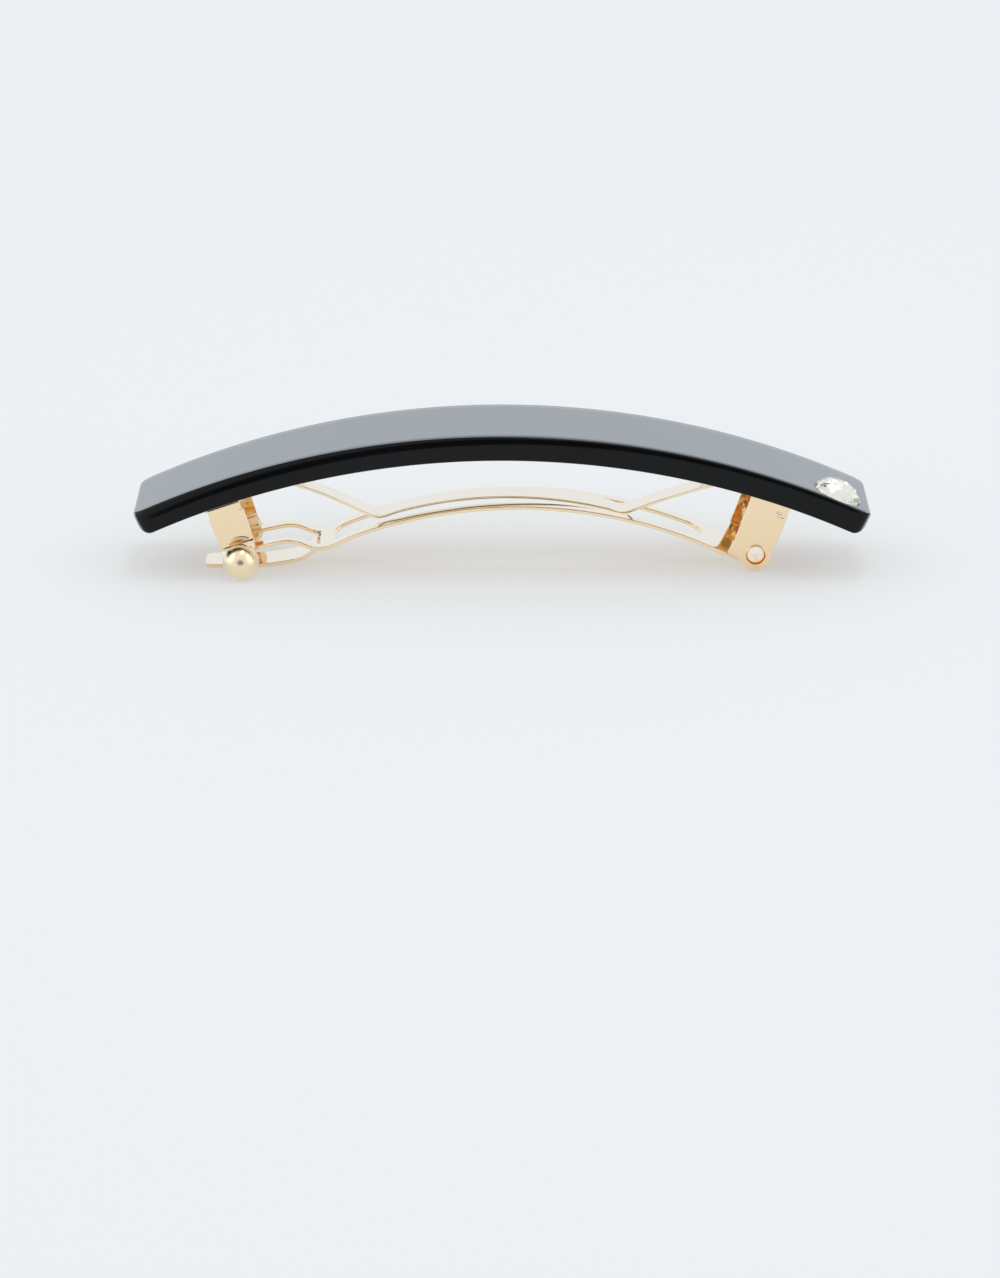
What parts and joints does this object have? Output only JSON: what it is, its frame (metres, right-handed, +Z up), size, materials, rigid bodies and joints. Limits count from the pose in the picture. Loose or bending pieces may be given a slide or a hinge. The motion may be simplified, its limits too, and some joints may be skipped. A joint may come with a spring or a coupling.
{
  "type": "barrette",
  "caption": "Curved acetate hair barrette with a faceted stone on a French clasp: arched base, hinged closing arm, tension bow and ball-knob catch.",
  "frame": {"origin": "under the middle of the barrette, on the surface that it stands on", "axes": "+X along the bar towards the hinge and the stone, +Z up, -Y towards the front edge"},
  "size_m": [0.0992, 0.019, 0.0202],
  "materials": {
    "black_acetate": "tumbled and polished, near black",
    "stone": "faceted crystal with a foiled back",
    "gold_plate": "bright pale-gold plating, polished",
    "gold_spring": "bright pale-gold plating on thin spring strip",
    "knob_gold": "mirror polish"
  },
  "bodies": {
    "base": {"acetate_bar": "black_acetate", "crystal": "stone", "base_plate": "gold_plate", "mount_pin_left": "gold_plate", "mount_pin_right": "gold_plate", "hinge_tube": "gold_plate", "catch_bridge": "gold_plate", "catch_rivet": "gold_plate"},
    "arm": {"closing_arm": "gold_plate"},
    "bow": {"tension_bow": "gold_spring"},
    "front_lever": {"catch_lever_front": "gold_plate", "knob_front": "knob_gold"},
    "back_lever": {"catch_lever_back": "gold_plate", "knob_back": "knob_gold"}
  },
  "joints": [
    {"name": "arm_swing", "type": "hinge", "parent": "base", "child": "arm", "pos_m": [0.0343, 0, 0.0027], "axis": [0, -1, 0], "range_deg": [0, 110]},
    {"name": "bow_swing", "type": "hinge", "parent": "base", "child": "bow", "pos_m": [0.03752, 0, 0.00837], "axis": [0, -1, 0], "range_deg": [0, 11]},
    {"name": "front_lever_flex", "type": "hinge", "parent": "base", "child": "front_lever", "pos_m": [-0.03736, -0.00522, 0.00912], "axis": [0.9433, 0, 0.3318], "range_deg": [0, 4], "stiffness_Nm_per_rad": 0.05},
    {"name": "back_lever_flex", "type": "hinge", "parent": "base", "child": "back_lever", "pos_m": [-0.03736, 0.00522, 0.00912], "axis": [-0.9433, 0, -0.3318], "range_deg": [0, 4], "stiffness_Nm_per_rad": 0.05}
  ],
  "couplings": [
    {"joint": "bow_swing", "follows": "arm_swing", "ratio": 0.1},
    {"joint": "back_lever_flex", "follows": "front_lever_flex", "ratio": 1}
  ]
}
